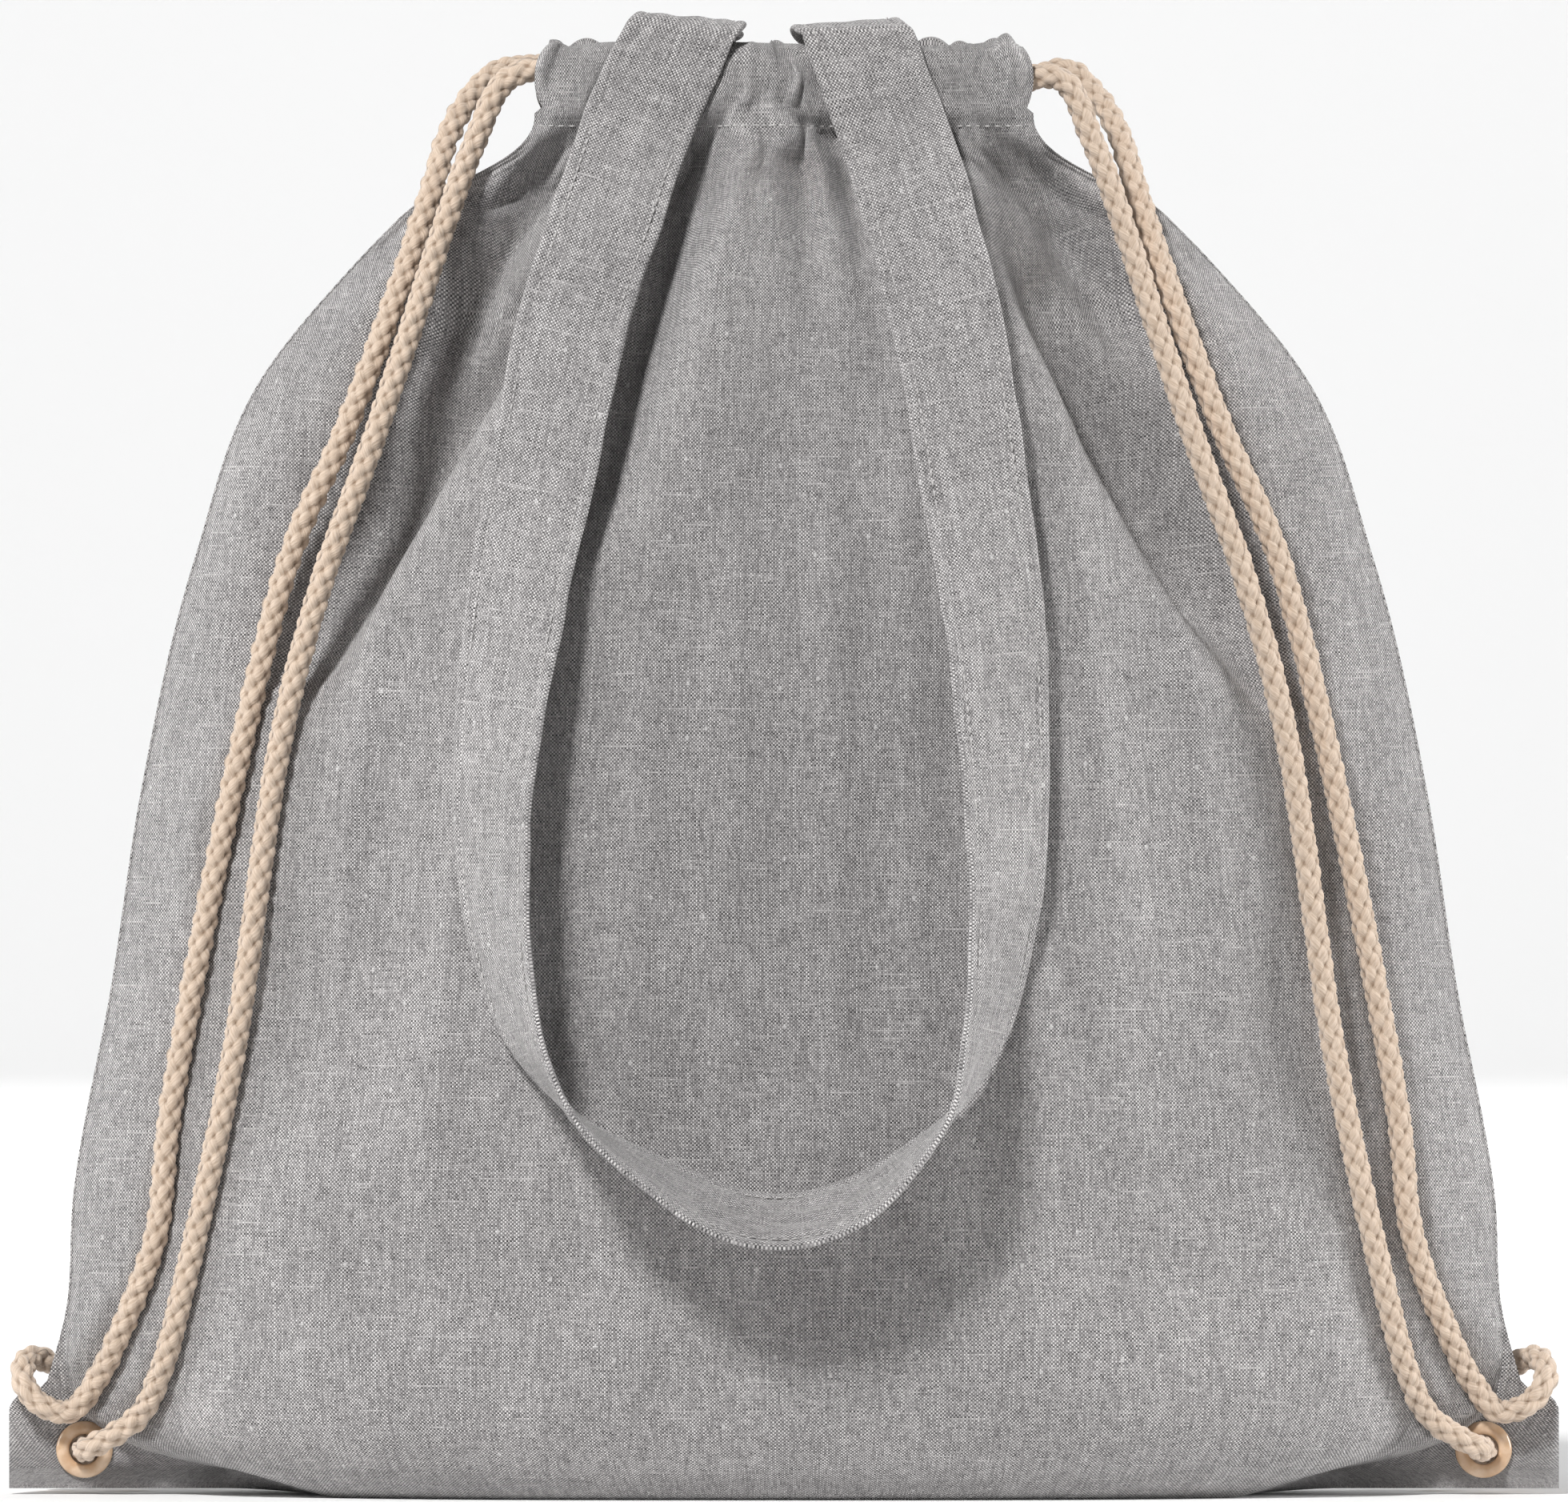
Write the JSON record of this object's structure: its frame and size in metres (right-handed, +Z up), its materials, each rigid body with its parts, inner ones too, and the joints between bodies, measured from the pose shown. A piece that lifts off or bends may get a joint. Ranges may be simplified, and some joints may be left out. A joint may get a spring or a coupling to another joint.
{
  "type": "drawstring backpack",
  "caption": "Cloth drawstring backpack with a gathered mouth, braided cord shoulder straps through corner eyelets, and fold-over tote handles.",
  "frame": {"origin": "under the middle of the flat base, where the filled bag stands", "axes": "+X across the bag from its left corner tab to its right one, +Z up to the mouth, -Y out of the front"},
  "size_m": [0.38, 0.1644, 0.365],
  "materials": {
    "bag_cloth": "grey melange plain-weave cotton with light slubs",
    "handle_cloth": "the same cotton folded and topstitched",
    "cord_cotton": "braided natural cotton",
    "eyelet_plastic": "glossy beige",
    "sewing_thread": "light grey polyester thread"
  },
  "bodies": {
    "root": {"front_panel": "bag_cloth", "back_panel": "bag_cloth", "front_casing": "bag_cloth", "back_casing": "bag_cloth", "front_handle_left_end": "handle_cloth", "front_handle_right_end": "handle_cloth", "back_handle_left_end": "handle_cloth", "back_handle_right_end": "handle_cloth", "left_eyelet": "eyelet_plastic", "left_washer": "eyelet_plastic", "right_eyelet": "eyelet_plastic", "right_washer": "eyelet_plastic", "left_cord": "cord_cotton", "right_cord": "cord_cotton", "left_knot": "cord_cotton", "right_knot": "cord_cotton", "left_seam_thread": "sewing_thread", "right_seam_thread": "sewing_thread", "front_hem_thread": "sewing_thread", "back_hem_thread": "sewing_thread"},
    "front_strap": {"front_handle": "handle_cloth"},
    "back_strap": {"back_handle": "handle_cloth"}
  },
  "joints": [
    {"name": "front_handle_swing", "type": "hinge", "parent": "root", "child": "front_strap", "pos_m": [0, -0.015, 0.358], "axis": [-1, 0, 0], "range_deg": [0, 160], "deforming": ["front_handle_left_end", "front_handle_right_end"]},
    {"name": "back_handle_swing", "type": "hinge", "parent": "root", "child": "back_strap", "pos_m": [0, 0.015, 0.358], "axis": [1, 0, 0], "range_deg": [0, 160], "deforming": ["back_handle_left_end", "back_handle_right_end"]}
  ]
}
